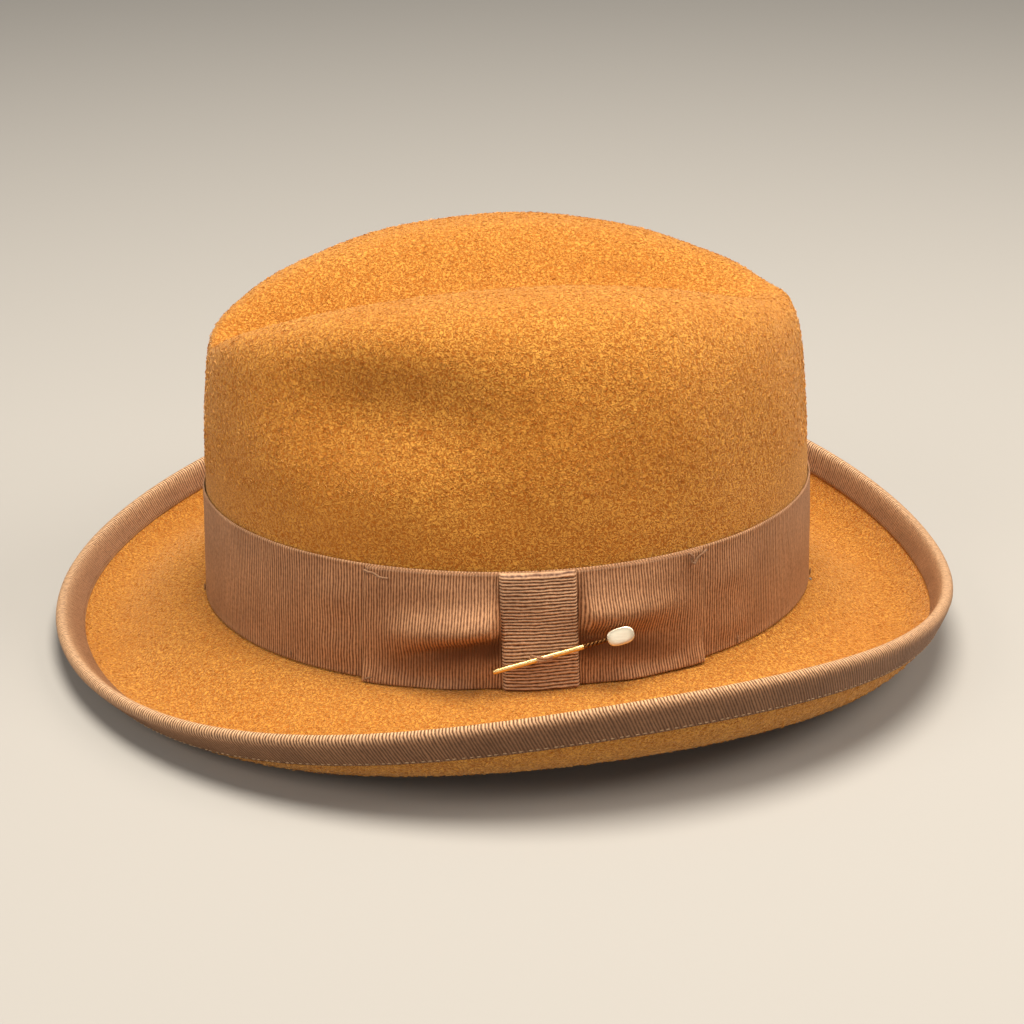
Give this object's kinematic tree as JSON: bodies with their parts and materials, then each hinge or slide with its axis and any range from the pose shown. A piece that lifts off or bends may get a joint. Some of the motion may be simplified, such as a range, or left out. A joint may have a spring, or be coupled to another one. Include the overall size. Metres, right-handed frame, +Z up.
{
  "type": "fedora hat",
  "caption": "Felt fedora with a creased crown, curled brim with ribbon binding, grosgrain band and flat bow, and a removable stick pin.",
  "frame": {"origin": "centre of the bounding box in plan, on the plane that the brim rests on", "axes": "+Z up through the crown, +Y towards the rear of the hat, so the front is at -Y, and +X towards the wearer's left, which carries the bow"},
  "size_m": [0.2976, 0.302, 0.127],
  "materials": {
    "felt": "brushed fur felt with a short nap",
    "binding_ribbon": "ribbed grosgrain, folded over the edge",
    "binding_thread": "two-ply sewing thread",
    "band_ribbon": "fine ribbed grosgrain",
    "bow_ribbon": "ribbed grosgrain with a soft sheen",
    "tack_thread": "waxed hand-sewing thread",
    "gold": "polished gold-coloured wire",
    "pale_gold": "soft-polished pale gold",
    "collar_winding": "twisted wire, darkened between the turns",
    "sweatband_leather": "smooth vegetable-tanned sheepskin",
    "leather_thread": "sewing thread",
    "reed": "smooth extruded reed",
    "cotton_tape": "plain woven cotton",
    "small_bow_ribbon": "narrow satin-edged ribbon",
    "lining_satin": "satin weave, warp sheen",
    "piping_satin": "satin over a cotton cord"
  },
  "bodies": {
    "hat": {"felt_body": "felt", "brim_binding": "binding_ribbon", "binding_thread": "binding_thread", "hat_band": "band_ribbon", "band_tacks": "tack_thread", "bow_front_loop": "bow_ribbon", "bow_rear_loop": "bow_ribbon", "bow_knot": "bow_ribbon", "knot_keeper": "bow_ribbon", "bow_tacks": "tack_thread", "sweatband": "sweatband_leather", "sweatband_seam": "sweatband_leather", "sweatband_reed": "reed", "reed_tape": "cotton_tape", "sweatband_thread": "leather_thread", "sweatband_bow": "small_bow_ribbon", "lining_side": "lining_satin", "lining_piping": "piping_satin", "lining_tip": "lining_satin"},
    "stick_pin": {"pin_shaft": "gold", "pin_collar": "collar_winding", "pin_head": "pale_gold"}
  },
  "joints": [
    {"name": "stick_pin_slide", "type": "slide", "parent": "hat", "child": "stick_pin", "axis": [0, 0.9732, 0.23], "range_m": [0, 0.044]}
  ]
}
